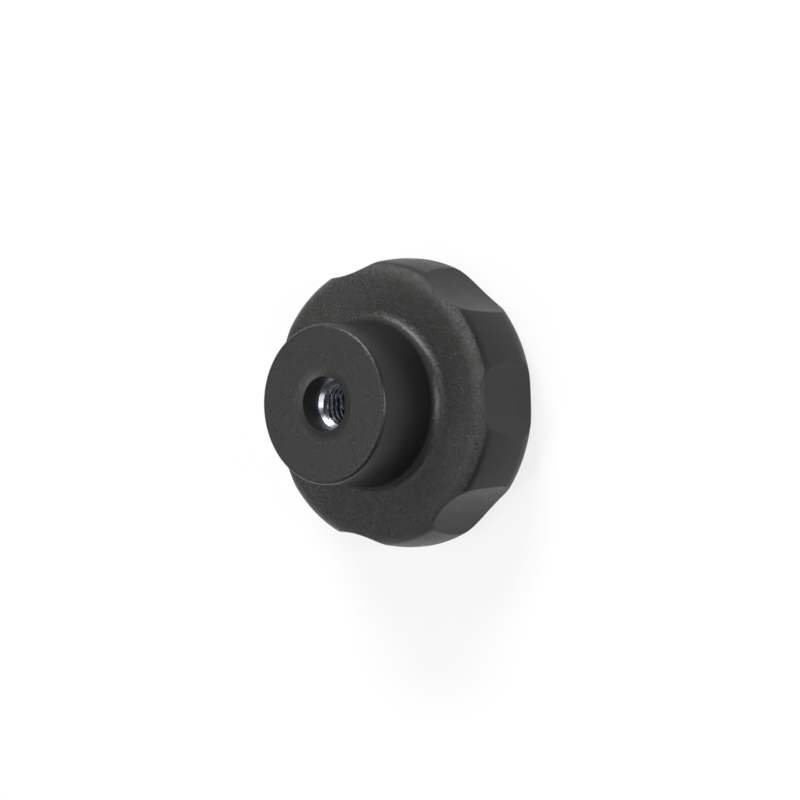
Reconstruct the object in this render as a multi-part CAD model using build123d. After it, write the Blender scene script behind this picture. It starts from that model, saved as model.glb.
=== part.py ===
from build123d import *
import os
from math import cos, pi, radians, sin, sqrt, tan

# Star knob nut with a blind M8 thread: a moulded seven-lobed head with a round hub,
# and a knurled steel bush moulded into it. Millimetres, +Z along the thread and out of
# its mouth. The knob stands on its crown, and the origin is the middle of the crown.

# Head: a barrel-sided disc with scallops for the fingers
head_radius = 25.0          # to the crest of a lobe, where the barrel is widest
head_height = 15.5          # crown to the face that the hub stands on
widest_height = 6.2         # above the crown
barrel_radius = 40.0        # of the side's curve, seen in section
crown_rounding = 5.4        # between the crown and the side
face_rounding = 3.0         # between the side and the head's face
lobe_count = 7
valley_radius = 23.05       # from the axis to the bottom of a scallop
scallop_radius = 19.2       # each scallop is part of a cylinder, parallel to the axis
scallop_edge_rounding = 0.6  # all round each scallop, where it meets the head's own surface

# Hub: slightly tapered, so that it leaves the mould
hub_height = 13.5           # the head's face to the seat
hub_radius = 13.6           # at the seat
hub_root_radius = 14.2      # at the head's face
hub_root_rounding = 2.0
seat_rounding = 0.8

# Mouth of the hub, a clear hole down to the bush
mouth_radius = 4.7
mouth_depth = 3.8           # seat to the bush's end
countersink_radius = 6.3
countersink_depth = 0.4

# Bush, closed at its inner end
bush_radius = 6.0
bush_length = 17.0
bush_chamfer = 0.5
knurl_count = 30
knurl_depth = 0.35
groove_width = 2.4          # ring groove that locks the bush in the moulding
groove_depth = 0.9
tap_drill_radius = 3.4      # 6.8 mm drill for M8
thread_chamfer_radius = 4.15
drill_depth = 13.5          # bush's end to the end of the full diameter
drill_point_angle = 118.0

seat_height = head_height + hub_height
bush_top = seat_height - mouth_depth
bush_bottom = bush_top - bush_length


def ring_section(*points):
    """A closed outline in the plane of radius and height, from its corners."""
    return make_face(Polyline(*points, close=True))


def turned(section):
    """A section in radius and height, turned once round the axis."""
    return revolve(Plane.YZ * section, Axis.Z, 360)


def barrel_reach(height):
    """Radius of the head's curved side at a height above the crown."""
    rise = height - widest_height
    return head_radius - barrel_radius + sqrt(barrel_radius**2 - rise**2)


def rounded(section, corner, radius):
    """The section with the corner nearest to a point rounded."""
    vertex = section.vertices().sort_by_distance(Vector(*corner))[0]
    return fillet(vertex, radius)


def knob_blank():
    """Head and hub as one turned shape, before the scallops and the mouth."""
    crown_corner = (barrel_reach(0), 0)
    face_corner = (barrel_reach(head_height), head_height)
    root_corner = (hub_root_radius, head_height)
    seat_corner = (hub_radius, seat_height)
    outline = Curve() + [
        Line((0, 0), crown_corner),
        ThreePointArc(crown_corner, (head_radius, widest_height), face_corner),
        Polyline(face_corner, root_corner, seat_corner, (0, seat_height), (0, 0)),
    ]
    section = make_face(outline)
    section = rounded(section, crown_corner, crown_rounding)
    section = rounded(section, face_corner, face_rounding)
    section = rounded(section, root_corner, hub_root_rounding)
    section = rounded(section, seat_corner, seat_rounding)
    return turned(section)


def scallops():
    """The seven cylinders that cut the finger scallops, the first one facing -Y."""
    centre_distance = valley_radius + scallop_radius
    cutters = []
    for lobe in range(lobe_count):
        angle = radians(-90 + lobe * 360 / lobe_count)
        place = Pos(centre_distance * cos(angle), centre_distance * sin(angle), 0)
        cutters.append(place * Cylinder(scallop_radius, 3 * head_height))
    return cutters


def bush_blank():
    """The bush's outer form: straight knurling, a locking groove and chamfered ends."""
    tips = []
    tip_radius = bush_radius + knurl_depth / 4
    for tooth in range(2 * knurl_count):
        angle = pi * tooth / knurl_count
        reach = tip_radius if tooth % 2 == 0 else bush_radius - knurl_depth
        tips.append((reach * cos(angle), reach * sin(angle)))
    knurled = Pos(0, 0, bush_bottom) * extrude(make_face(Polyline(*tips, close=True)), bush_length)
    groove_middle = (bush_top + bush_bottom) / 2
    groove_low = groove_middle - groove_width / 2
    groove_high = groove_middle + groove_width / 2
    groove_radius = bush_radius - groove_depth
    envelope = turned(ring_section(
        (0, bush_bottom),
        (bush_radius - bush_chamfer, bush_bottom),
        (bush_radius, bush_bottom + bush_chamfer),
        (bush_radius, groove_low),
        (groove_radius, groove_low),
        (groove_radius, groove_high),
        (bush_radius, groove_high),
        (bush_radius, bush_top - bush_chamfer),
        (bush_radius - bush_chamfer, bush_top),
        (0, bush_top),
    ))
    return knurled & envelope


def tapped_hole():
    """The hole drilled for the thread, with its mouth chamfered and its drill point."""
    drill_end = bush_top - drill_depth
    point_depth = tap_drill_radius / tan(radians(drill_point_angle / 2))
    chamfer_end = bush_top - (thread_chamfer_radius - tap_drill_radius)
    return turned(ring_section(
        (0, drill_end - point_depth),
        (tap_drill_radius, drill_end),
        (tap_drill_radius, chamfer_end),
        (thread_chamfer_radius, bush_top),
        (0, bush_top),
    ))


def mouth_hole():
    """The clear hole in the hub's end, with its shallow countersink."""
    return turned(ring_section(
        (0, bush_top),
        (mouth_radius, bush_top),
        (mouth_radius, seat_height - countersink_depth),
        (countersink_radius, seat_height),
        (0, seat_height),
    ))


def scallop_walls(body):
    """The cylindrical walls that the scallops leave, out beyond the hub."""
    walls = []
    for face in body.faces().filter_by(GeomType.CYLINDER):
        centre = face.center()
        if sqrt(centre.X**2 + centre.Y**2) > (hub_root_radius + valley_radius) / 2:
            walls.append(face)
    return walls


def knob_body():
    body = knob_blank()
    for cutter in scallops():
        body -= cutter
    rims = [edge for wall in scallop_walls(body) for edge in wall.edges()]
    body = fillet(rims, scallop_edge_rounding)
    return body - mouth_hole() - bush_blank()


os.makedirs("parts", exist_ok=True)
export_step(knob_body(), "parts/knob_body.step")
export_step(bush_blank() - tapped_hole(), "parts/threaded_insert.step")
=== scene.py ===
import math

import bpy
from mathutils import Matrix, Vector


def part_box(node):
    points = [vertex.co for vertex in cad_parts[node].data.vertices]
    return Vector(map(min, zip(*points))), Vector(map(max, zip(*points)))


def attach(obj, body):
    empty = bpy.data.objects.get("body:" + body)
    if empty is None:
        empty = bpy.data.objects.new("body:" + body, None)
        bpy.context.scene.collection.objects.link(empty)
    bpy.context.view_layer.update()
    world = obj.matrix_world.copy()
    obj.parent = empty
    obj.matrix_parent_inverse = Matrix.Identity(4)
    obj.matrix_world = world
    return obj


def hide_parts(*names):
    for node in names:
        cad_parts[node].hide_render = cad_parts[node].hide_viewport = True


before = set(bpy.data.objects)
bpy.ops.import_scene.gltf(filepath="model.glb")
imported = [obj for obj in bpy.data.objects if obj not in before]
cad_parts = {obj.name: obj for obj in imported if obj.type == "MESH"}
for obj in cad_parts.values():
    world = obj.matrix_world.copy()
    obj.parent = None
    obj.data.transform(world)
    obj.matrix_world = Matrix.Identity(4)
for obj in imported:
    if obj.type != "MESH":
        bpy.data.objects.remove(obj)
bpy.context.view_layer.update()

mm = 0.001
bodyLow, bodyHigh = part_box("knob_body")
bushLow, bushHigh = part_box("threaded_insert")
seatHeight = bodyHigh.z
hubHeight = 13.5 * mm  # the hub stands this far out of the head
faceHeight = seatHeight - hubHeight


def deselectAll():
    if bpy.context.object and bpy.context.object.mode != "OBJECT":
        bpy.ops.object.mode_set(mode="OBJECT")
    bpy.ops.object.select_all(action="DESELECT")


def makeActive(piece):
    deselectAll()
    piece.select_set(True)
    bpy.context.view_layer.objects.active = piece


def applyModifier(piece, kind, **settings):
    makeActive(piece)
    modifier = piece.modifiers.new(kind.title(), kind)
    for name, value in settings.items():
        setattr(modifier, name, value)
    bpy.ops.object.modifier_apply(modifier=modifier.name)


def selectBy(piece, elements, test):
    # selects faces or edges by a test on their middle, in edit mode
    bpy.ops.mesh.select_all(action="DESELECT")
    bpy.ops.object.mode_set(mode="OBJECT")
    mesh = piece.data
    for element in getattr(mesh, elements):
        corners = [mesh.vertices[index].co for index in element.vertices]
        middle = sum(corners, Vector()) / len(corners)
        element.select = test(middle, element)
    bpy.ops.object.mode_set(mode="EDIT")


def drawSection(name, points):
    # a chain of edges in radius and height, extruded point by point from one vertex
    deselectAll()
    start = Vector((points[0][0], 0, points[0][1]))
    bpy.ops.mesh.primitive_plane_add(size=mm, location=start)
    piece = bpy.context.object
    piece.name = name
    bpy.ops.object.transform_apply(location=True)
    bpy.ops.object.mode_set(mode="EDIT")
    bpy.ops.mesh.select_mode(type="VERT")
    bpy.ops.mesh.select_all(action="SELECT")
    bpy.ops.mesh.merge(type="CENTER")
    for here, there in zip(points, points[1:]):
        step = (there[0] - here[0], 0, there[1] - here[1])
        bpy.ops.mesh.extrude_region_move(TRANSFORM_OT_translate={"value": step})
    bpy.ops.object.mode_set(mode="OBJECT")
    return piece


def turnSection(name, points, steps):
    # a section whose ends are on the axis, spun once round it into a closed shape
    piece = drawSection(name, points)
    makeActive(piece)
    bpy.ops.object.mode_set(mode="EDIT")
    bpy.ops.mesh.select_all(action="SELECT")
    bpy.ops.mesh.spin(steps=steps, angle=2 * math.pi, center=(0, 0, 0), axis=(0, 0, 1))
    bpy.ops.mesh.select_all(action="SELECT")
    bpy.ops.mesh.remove_doubles(threshold=0.002 * mm)
    bpy.ops.mesh.normals_make_consistent(inside=False)
    bpy.ops.object.mode_set(mode="OBJECT")
    return piece


def cutAway(piece, cutter):
    applyModifier(piece, "BOOLEAN", operation="DIFFERENCE", solver="EXACT", object=cutter)
    bpy.data.objects.remove(cutter)


def newMaterial(name):
    material = bpy.data.materials.new(name)
    material.use_nodes = True
    nodes = material.node_tree.nodes
    links = material.node_tree.links
    return material, nodes, links, nodes["Principled BSDF"]


def addNode(nodes, kind, inputs=None, **settings):
    node = nodes.new(kind)
    for name, value in settings.items():
        setattr(node, name, value)
    for name, value in (inputs or {}).items():
        node.inputs[name].default_value = value
    return node


def mathNode(nodes, links, operation, first, second=0.0):
    node = nodes.new("ShaderNodeMath")
    node.operation = operation
    for socket, value in zip(node.inputs, (first, second)):
        if isinstance(value, (int, float)):
            socket.default_value = value
        else:
            links.new(value, socket)
    return node.outputs[0]


def rangeNode(nodes, links, value, fromLow, fromHigh, toLow, toHigh):
    node = addNode(nodes, "ShaderNodeMapRange", interpolation_type="SMOOTHSTEP")
    links.new(value, node.inputs["Value"])
    limits = {"From Min": fromLow, "From Max": fromHigh, "To Min": toLow, "To Max": toHigh}
    for name, number in limits.items():
        node.inputs[name].default_value = number
    return node.outputs["Result"]


def noiseNode(nodes, links, vector, scale, detail, roughness=0.5):
    settings = {"Scale": scale, "Detail": detail, "Roughness": roughness}
    node = addNode(nodes, "ShaderNodeTexNoise", settings)
    links.new(vector, node.inputs["Vector"])
    return node.outputs["Fac"]


def objectAxes(nodes, links):
    # the point on the object, and its three coordinates
    place = addNode(nodes, "ShaderNodeTexCoord").outputs["Object"]
    axes = addNode(nodes, "ShaderNodeSeparateXYZ")
    links.new(place, axes.inputs[0])
    return place, axes.outputs["X"], axes.outputs["Y"], axes.outputs["Z"]


def radiusNode(nodes, links, x, y):
    squares = [mathNode(nodes, links, "MULTIPLY", value, value) for value in (x, y)]
    return mathNode(nodes, links, "SQRT", mathNode(nodes, links, "ADD", *squares))


plastic = {
    "satinColour": (0.0036, 0.0038, 0.0041, 1),
    "grainedColour": (0.0220, 0.0222, 0.0206, 1),
    "satinRoughness": 0.44,
    "hubRoughness": 0.32,
    "grainRoughness": 0.27,
    "mouthRoughness": 0.30,  # added on the wall of the mouth, dulled by the mould's pin
    "indexOfRefraction": 1.46,
    "grainSize": 0.46 * mm,
    "grainHeight": 0.17 * mm,
    "rippleHeight": 0.02 * mm,
    "rootRounding": 2.0 * mm,
    "mouthRadius": 4.75 * mm,
}


def mouldedPlastic():
    material, nodes, links, shader = newMaterial("mouldedPlastic")
    place, x, y, height = objectAxes(nodes, links)
    rootTop = faceHeight + plastic["rootRounding"]
    rootLow = rootTop - 0.9 * mm
    rootHigh = rootTop + 0.3 * mm

    # spark-eroded grain lies on the head's face with its roundings, and on the hub's end
    overEdge = rangeNode(nodes, links, height, faceHeight - 1.5 * mm, faceHeight - 0.9 * mm, 0, 1)
    underHub = rangeNode(nodes, links, height, rootLow, rootHigh, 1, 0)
    headGrain = mathNode(nodes, links, "MULTIPLY", overEdge, underHub)
    endLow = seatHeight - 0.45 * mm
    endHigh = seatHeight - 0.02 * mm
    endGrain = rangeNode(nodes, links, height, endLow, endHigh, 0.12, 0.62)
    grained = mathNode(nodes, links, "MAXIMUM", headGrain, endGrain)

    grain = noiseNode(nodes, links, place, 1 / plastic["grainSize"], 3, 0.65)
    fineGrain = noiseNode(nodes, links, place, 2.6 / plastic["grainSize"], 2, 0.6)
    pits = mathNode(nodes, links, "ADD", grain, mathNode(nodes, links, "MULTIPLY", fineGrain, 0.7))
    ripple = noiseNode(nodes, links, place, 180, 2)  # the slow waviness of a cooled moulding
    patches = noiseNode(nodes, links, place, 420, 3)

    colour = addNode(nodes, "ShaderNodeMix", data_type="RGBA")
    colour.inputs["A"].default_value = plastic["satinColour"]
    colour.inputs["B"].default_value = plastic["grainedColour"]
    mottle = rangeNode(nodes, links, pits, 0.55, 1.15, 0.7, 1.2)
    links.new(mathNode(nodes, links, "MULTIPLY", grained, mottle), colour.inputs["Factor"])
    links.new(colour.outputs["Result"], shader.inputs["Base Color"])

    # roughness: satin sides, a smoother hub, grain, a dull mouth, all a little uneven
    onHub = rangeNode(nodes, links, height, rootLow, rootHigh, 0, 1)
    smooth = rangeNode(nodes, links, onHub, 0, 1, plastic["satinRoughness"], plastic["hubRoughness"])
    toGrain = mathNode(nodes, links, "SUBTRACT", plastic["grainRoughness"], smooth)
    lift = mathNode(nodes, links, "MULTIPLY", toGrain, grained)
    base = mathNode(nodes, links, "ADD", smooth, lift)
    uneven = rangeNode(nodes, links, patches, 0.2, 0.8, -0.03, 0.03)
    varied = mathNode(nodes, links, "ADD", base, uneven)
    radius = radiusNode(nodes, links, x, y)
    mouth = plastic["mouthRadius"]
    inMouth = rangeNode(nodes, links, radius, mouth, mouth + 0.2 * mm, plastic["mouthRoughness"], 0)
    links.new(mathNode(nodes, links, "ADD", varied, inMouth), shader.inputs["Roughness"])

    slow = addNode(nodes, "ShaderNodeBump", {"Strength": 1.0, "Distance": plastic["rippleHeight"]})
    links.new(ripple, slow.inputs["Height"])
    fine = addNode(nodes, "ShaderNodeBump", {"Distance": plastic["grainHeight"]})
    links.new(pits, fine.inputs["Height"])
    # the grain is shallower on the rounding at the hub's root
    atRoot = rangeNode(nodes, links, height, faceHeight + 0.05 * mm, faceHeight + 0.5 * mm, 1, 0.42)
    headDepth = mathNode(nodes, links, "MULTIPLY", headGrain, atRoot)
    depth = mathNode(nodes, links, "MAXIMUM", headDepth, endGrain)
    links.new(mathNode(nodes, links, "MAXIMUM", depth, 0.03), fine.inputs["Strength"])
    links.new(slow.outputs["Normal"], fine.inputs["Normal"])
    links.new(fine.outputs["Normal"], shader.inputs["Normal"])
    shader.inputs["IOR"].default_value = plastic["indexOfRefraction"]
    return material


steel = {
    "colour": (0.58, 0.62, 0.68, 1),
    "dullColour": (0.36, 0.39, 0.45, 1),
    "ringSize": 0.05 * mm,  # between two tool marks
    "ringHeight": 0.002 * mm,
    "leastRoughness": 0.08,
    "mostRoughness": 0.20,
    "chamferRoughness": 0.17,  # added on the chamfer at the mouth
}


def platedSteel():
    material, nodes, links, shader = newMaterial("platedSteel")
    place, x, y, height = objectAxes(nodes, links)
    ringPlace = addNode(nodes, "ShaderNodeCombineXYZ")
    links.new(radiusNode(nodes, links, x, y), ringPlace.inputs["X"])
    links.new(height, ringPlace.inputs["Z"])
    rings = noiseNode(nodes, links, ringPlace.outputs["Vector"], 1 / steel["ringSize"], 2, 0.6)
    stains = noiseNode(nodes, links, place, 900, 3)

    colour = addNode(nodes, "ShaderNodeMix", data_type="RGBA")
    colour.inputs["A"].default_value = steel["colour"]
    colour.inputs["B"].default_value = steel["dullColour"]
    links.new(rangeNode(nodes, links, stains, 0.35, 0.75, 0, 1), colour.inputs["Factor"])
    links.new(colour.outputs["Result"], shader.inputs["Base Color"])

    chamferLow = bushHigh.z - 1.2 * mm
    chamferHigh = bushHigh.z - 0.7 * mm
    chamfered = rangeNode(nodes, links, height, chamferLow, chamferHigh, 0, steel["chamferRoughness"])
    least = steel["leastRoughness"]
    marked = rangeNode(nodes, links, rings, 0.25, 0.75, least, steel["mostRoughness"])
    links.new(mathNode(nodes, links, "ADD", marked, chamfered), shader.inputs["Roughness"])
    marks = addNode(nodes, "ShaderNodeBump", {"Strength": 1.0, "Distance": steel["ringHeight"]})
    links.new(rings, marks.inputs["Height"])
    links.new(marks.outputs["Normal"], shader.inputs["Normal"])
    shader.inputs["Metallic"].default_value = 1.0
    return material


bush = {
    "teeth": 30,
    "knurlDepth": 0.35 * mm,
    "endChamfer": 0.5 * mm,
    "grooveWidth": 2.4 * mm,
    "grooveDepth": 0.9 * mm,
    "pitch": 1.25 * mm,
    "crestRadius": 3.4 * mm,
    "rootRadius": 4.0 * mm,
    "rootFlat": 0.16 * mm,
    "edgeBreak": 0.035 * mm,
    "mouthRadius": 4.15 * mm,
    "drillDepth": 13.5 * mm,
    "threadDepth": 11.5 * mm,
    "flankAngle": math.radians(60),  # between two flanks
    "drillPoint": math.radians(118),
    "steps": 144,
    "smoothAngle": math.radians(22),
}


def threadCore():
    # the screw-shaped space inside the thread, closed at both ends
    flank = (bush["rootRadius"] - bush["crestRadius"]) * math.tan(bush["flankAngle"] / 2)
    crestFlat = bush["pitch"] - 2 * flank - bush["rootFlat"]
    edge = bush["edgeBreak"]
    slope = edge * math.tan(bush["flankAngle"] / 2)
    start = bushHigh.z - bush["threadDepth"] - 2.4 * bush["pitch"]
    heights = [0, crestFlat - edge, crestFlat + slope]
    radii = [bush["crestRadius"], bush["crestRadius"], bush["crestRadius"] + edge]
    heights += [crestFlat + flank, crestFlat + flank + bush["rootFlat"]]
    radii += [bush["rootRadius"], bush["rootRadius"]]
    heights += [bush["pitch"] - slope - edge, bush["pitch"]]
    radii += [bush["crestRadius"] + edge, bush["crestRadius"]]
    core = drawSection("threadCore", [(r, start + h) for r, h in zip(radii, heights)])
    turns = math.ceil(bush["threadDepth"] / bush["pitch"]) + 4
    applyModifier(core, "SCREW", axis="Z", angle=2 * math.pi, screw_offset=bush["pitch"],
                  iterations=turns, steps=bush["steps"], render_steps=bush["steps"],
                  use_merge_vertices=True, merge_threshold=0.002 * mm)
    bpy.ops.object.mode_set(mode="EDIT")
    bpy.ops.mesh.select_all(action="SELECT")
    bpy.ops.mesh.remove_doubles(threshold=0.002 * mm)
    fine = 0.0001 * mm
    floorOfThread = (0, 0, bushHigh.z - bush["threadDepth"])
    bpy.ops.mesh.bisect(plane_co=floorOfThread, plane_no=(0, 0, 1), use_fill=True,
                        clear_inner=True, threshold=fine)
    bpy.ops.mesh.select_all(action="SELECT")
    overMouth = (0, 0, bushHigh.z + 0.6 * mm)
    bpy.ops.mesh.bisect(plane_co=overMouth, plane_no=(0, 0, 1), use_fill=True,
                        clear_outer=True, threshold=fine)
    bpy.ops.mesh.select_all(action="SELECT")
    bpy.ops.mesh.normals_make_consistent(inside=False)
    bpy.ops.object.mode_set(mode="OBJECT")
    return core


def drillHole():
    end = bushHigh.z - bush["drillDepth"]
    radius = bush["crestRadius"] - 0.01 * mm
    point = radius / math.tan(bush["drillPoint"] / 2)
    top = bushHigh.z - 2 * mm
    points = [(0, end - point), (radius, end), (radius, top), (0, top)]
    return turnSection("drillHole", points, bush["steps"])


def mouthChamfer():
    over = 0.3 * mm
    radius = bush["mouthRadius"] + over
    depth = radius - bush["crestRadius"] + 0.4 * mm
    top = bushHigh.z + over
    tip = bush["crestRadius"] - 0.4 * mm
    points = [(0, top - depth), (tip, top - depth), (radius, top), (0, top)]
    return turnSection("mouthChamfer", points, bush["steps"])


def threadedBush():
    radius = bushHigh.x
    length = bushHigh.z - bushLow.z
    middle = (bushHigh.z + bushLow.z) / 2
    deselectAll()
    bpy.ops.mesh.primitive_cylinder_add(vertices=4 * bush["teeth"], radius=radius, depth=length,
                                        location=(0, 0, middle))
    piece = bpy.context.object
    piece.name = "threadedBush"
    bpy.ops.object.transform_apply(location=True)
    bpy.ops.object.mode_set(mode="EDIT")
    # every fourth edge is pressed in, which leaves a tooth with a narrow flat top
    wedge = 2 * math.pi / bush["teeth"]

    def isRoot(at, edge):
        across = math.atan2(at.y, at.x) / wedge
        return abs(at.z - middle) < 0.1 * mm and abs(across - round(across)) < 0.1

    bpy.ops.mesh.select_mode(type="EDGE")
    selectBy(piece, "edges", isRoot)
    inward = 1 - bush["knurlDepth"] / radius
    bpy.ops.transform.resize(value=(inward, inward, 1), center_override=(0, 0, middle))
    for level in (middle - bush["grooveWidth"] / 2, middle + bush["grooveWidth"] / 2):
        bpy.ops.mesh.select_all(action="SELECT")
        bpy.ops.mesh.bisect(plane_co=(0, 0, level), plane_no=(0, 0, 1))
    bpy.ops.mesh.select_mode(type="FACE")
    selectBy(piece, "polygons", lambda at, face: abs(at.z - middle) < 0.4 * bush["grooveWidth"])
    bpy.ops.mesh.extrude_region_shrink_fatten(TRANSFORM_OT_shrink_fatten={"value": -bush["grooveDepth"]})
    bpy.ops.mesh.select_mode(type="EDGE")
    ends = (bushLow.z, bushHigh.z)
    selectBy(piece, "edges", lambda at, edge: min(abs(at.z - end) for end in ends) < 0.01 * mm)
    bpy.ops.mesh.bevel(offset=bush["endChamfer"], segments=1, affect="EDGES")
    bpy.ops.mesh.select_all(action="SELECT")
    bpy.ops.mesh.normals_make_consistent(inside=False)
    bpy.ops.object.mode_set(mode="OBJECT")
    for cutter in (threadCore(), drillHole(), mouthChamfer()):
        cutAway(piece, cutter)
    makeActive(piece)
    bpy.ops.object.mode_set(mode="EDIT")
    bpy.ops.mesh.select_all(action="SELECT")
    bpy.ops.mesh.remove_doubles(threshold=0.001 * mm)
    bpy.ops.mesh.normals_make_consistent(inside=False)
    bpy.ops.object.mode_set(mode="OBJECT")
    bpy.ops.object.shade_smooth_by_angle(angle=bush["smoothAngle"])
    return piece


studio = {
    "distance": 0.700,
    "offAxis": math.radians(39.66),  # between the line of sight and the thread's axis
    "aroundAxis": math.radians(1.5),
    "aboveAxis": math.radians(0.44),
    "roll": math.radians(-0.51),
    "aimRight": 4.47 * mm,
    "aimUp": 0.58 * mm,
    "fieldOfView": 11.18,  # degrees
    "sensorWidth": 36,  # millimetres, as Blender takes it
    "floorSize": 3.0,
    "floorWhite": 0.86,
    "floorGlow": 0.8,  # share of the floor that is seen and mirrored as plain white
    "lampDistance": 0.8,
}


def cameraAxes():
    # right, up and towards the camera, in the frame of the part
    off = studio["offAxis"]
    above = studio["aboveAxis"]
    toward = Vector((math.sin(above), -math.sin(off) * math.cos(above), math.cos(off) * math.cos(above)))
    right = Vector((0, -math.cos(off), -math.sin(off)))
    up = toward.cross(right)
    rolledRight = right * math.cos(studio["roll"]) + up * math.sin(studio["roll"])
    rolledUp = up * math.cos(studio["roll"]) - right * math.sin(studio["roll"])
    turn = Matrix.Rotation(-studio["aroundAxis"], 3, "Z")
    return turn @ rolledRight, turn @ rolledUp, turn @ toward


right, up, toward = cameraAxes()


def fromCamera(x, y, z):
    return (right * x + up * y + toward * z).normalized()


def addCamera():
    data = bpy.data.cameras.new("camera")
    camera = bpy.data.objects.new("camera", data)
    bpy.context.scene.collection.objects.link(camera)
    aim = Vector((0, 0, faceHeight)) + right * studio["aimRight"] + up * studio["aimUp"]
    spot = aim + toward * studio["distance"]
    turned = Matrix((right, up, toward)).transposed().to_4x4()
    camera.matrix_world = Matrix.Translation(spot) @ turned
    data.sensor_width = studio["sensorWidth"]
    data.lens = studio["sensorWidth"] / 2 / math.tan(math.radians(studio["fieldOfView"] / 2))
    data.clip_start = 0.01
    bpy.context.scene.camera = camera


def addFloor():
    deselectAll()
    bpy.ops.mesh.primitive_plane_add(size=studio["floorSize"], location=(0, 0, 0))
    floor = bpy.context.object
    floor.name = "floor"
    material, nodes, links, shader = newMaterial("paleFloor")
    white = studio["floorWhite"]
    shader.inputs["Base Color"].default_value = (white, white, white, 1)
    shader.inputs["Roughness"].default_value = 0.8
    glow = addNode(nodes, "ShaderNodeEmission", {"Color": (1, 1, 1, 1), "Strength": 1.0})
    path = addNode(nodes, "ShaderNodeLightPath")
    seen = mathNode(nodes, links, "MAXIMUM", path.outputs["Is Camera Ray"], path.outputs["Is Glossy Ray"])
    share = mathNode(nodes, links, "MULTIPLY", seen, studio["floorGlow"])
    # what the knob mirrors of the floor is a little weaker on one side
    place, x, y, height = objectAxes(nodes, links)
    weaker = rangeNode(nodes, links, x, -10 * mm, 50 * mm, 0.90, 0.66)
    strength = mathNode(nodes, links, "MAXIMUM", weaker, path.outputs["Is Camera Ray"])
    links.new(strength, glow.inputs["Strength"])
    mix = addNode(nodes, "ShaderNodeMixShader")
    links.new(share, mix.inputs["Fac"])
    links.new(shader.outputs[0], mix.inputs[1])
    links.new(glow.outputs[0], mix.inputs[2])
    links.new(mix.outputs[0], nodes["Material Output"].inputs["Surface"])
    floor.data.materials.append(material)


def addLamp(name, direction, size, power):
    data = bpy.data.lights.new(name, "AREA")
    data.shape = "RECTANGLE"
    data.size, data.size_y = size
    data.energy = power
    lamp = bpy.data.objects.new(name, data)
    bpy.context.scene.collection.objects.link(lamp)
    middle = Vector((0, 0, faceHeight))
    lamp.location = middle + direction * studio["lampDistance"]
    lamp.rotation_euler = direction.to_track_quat("Z", "Y").to_euler()


def addWorld():
    world = bpy.data.worlds.new("studioWorld")
    bpy.context.scene.world = world
    world.use_nodes = True
    nodes = world.node_tree.nodes
    links = world.node_tree.links
    background = nodes["Background"]
    direction = addNode(nodes, "ShaderNodeTexCoord").outputs["Generated"]
    total = 0.0
    # the room is brightest above the camera and to its left
    for side, strength in ((up, 0.30), (-right, 0.46)):
        dot = addNode(nodes, "ShaderNodeVectorMath", operation="DOT_PRODUCT")
        links.new(direction, dot.inputs[0])
        dot.inputs[1].default_value = side
        facing = mathNode(nodes, links, "MAXIMUM", dot.outputs["Value"], 0.0)
        spread = mathNode(nodes, links, "POWER", facing, 2.0)
        total = mathNode(nodes, links, "ADD", mathNode(nodes, links, "MULTIPLY", spread, strength), total)
    path = addNode(nodes, "ShaderNodeLightPath")
    seen = mathNode(nodes, links, "MAXIMUM", total, path.outputs["Is Camera Ray"])
    background.inputs["Color"].default_value = (1, 1, 1, 1)
    links.new(seen, background.inputs["Strength"])


bpy.context.scene.view_settings.view_transform = "Standard"
addCamera()
addFloor()
addWorld()
addLamp("keyLamp", fromCamera(-0.40, 0.80, 0.45), (0.40, 0.14), 6.4)
addLamp("topLamp", fromCamera(-0.10, 0.94, 0.33), (0.30, 0.20), 0.3)
addLamp("leftLamp", fromCamera(-0.71, 0.00, 0.71), (0.16, 0.16), 0.6)
addLamp("lowLeftLamp", fromCamera(-0.82, -0.40, 0.41), (0.30, 0.30), 1.75)
addLamp("frontLamp", fromCamera(0.38, 0.02, 0.92), (0.12, 0.30), 2.8)
addLamp("lowLamp", fromCamera(0.00, -0.38, 0.92), (0.20, 0.12), 0.7)
print("studio ready")

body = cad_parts["knob_body"]
body.data.materials[0] = mouldedPlastic()
print("knob body finished")

insert = threadedBush()
insert.data.materials.append(platedSteel())
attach(insert, "root")
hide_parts("threaded_insert")
print("bush finished:", len(insert.data.polygons), "faces")
